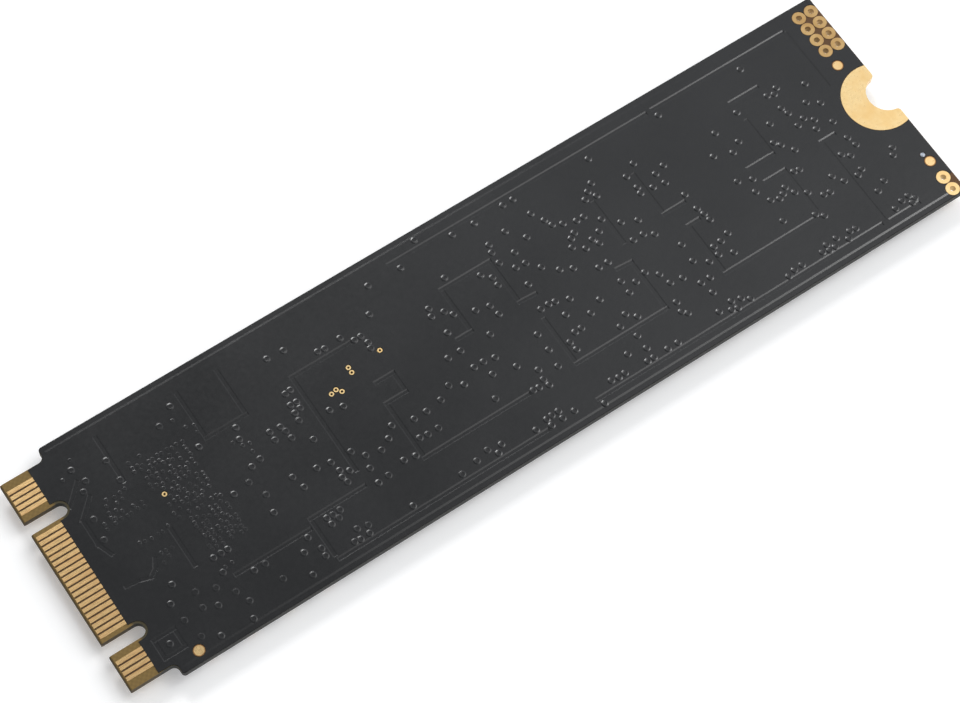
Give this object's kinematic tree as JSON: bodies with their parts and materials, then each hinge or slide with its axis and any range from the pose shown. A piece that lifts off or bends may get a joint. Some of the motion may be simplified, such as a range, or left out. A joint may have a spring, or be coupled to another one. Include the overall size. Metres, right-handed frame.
{
  "type": "gumstick solid state drive",
  "caption": "Narrow bare card drive with a keyed gold edge connector at one end, a half-round screw notch at the other, and its chips on the hidden side.",
  "frame": {"origin": "middle of the card, on the surface that the flash packages rest on", "axes": "+X from the connector tip to the screw end, +Y across the card towards the key notch with five contacts outside it, +Z out of the bare side"},
  "size_m": [0.08, 0.022, 0.002],
  "materials": {
    "laminate": "matte",
    "solder_mask": "satin",
    "gold": "satin",
    "solder": "satin",
    "package": "matte",
    "capacitor": "matte",
    "resistor": "satin",
    "ceramic": "matte",
    "ferrite": "matte",
    "lid": "brushed"
  },
  "bodies": {
    "root": {"circuit_board": "laminate", "bare_side_mask": "solder_mask", "component_side_mask": "solder_mask", "bare_side_contacts": "gold", "component_side_contacts": "gold", "screw_notch_plating": "gold", "header_eyelets": "gold", "probe_eyelets": "gold", "test_pads": "gold", "open_vias": "gold", "tinned_via": "solder", "solder_lands": "solder", "solder_fillets": "solder", "controller": "package", "controller_balls": "solder", "flash_package_1": "package", "flash_package_2": "package", "flash_package_3": "package", "flash_package_4": "package", "flash_balls_1": "solder", "flash_balls_2": "solder", "flash_balls_3": "solder", "flash_balls_4": "solder", "flash_capacitors": "capacitor", "controller_capacitors": "capacitor", "coupling_capacitors": "capacitor", "bulk_capacitors": "capacitor", "chip_terminals": "solder", "resistors": "resistor", "resistor_terminals": "solder", "input_fuse": "ceramic", "fuse_terminals": "solder", "regulators": "package", "regulator_leads": "solder", "inductors": "ferrite", "inductor_terminals": "solder", "crystal_base": "ceramic", "crystal_lid": "lid", "voltage_detector": "package", "voltage_detector_leads": "solder"}
  },
  "joints": []
}
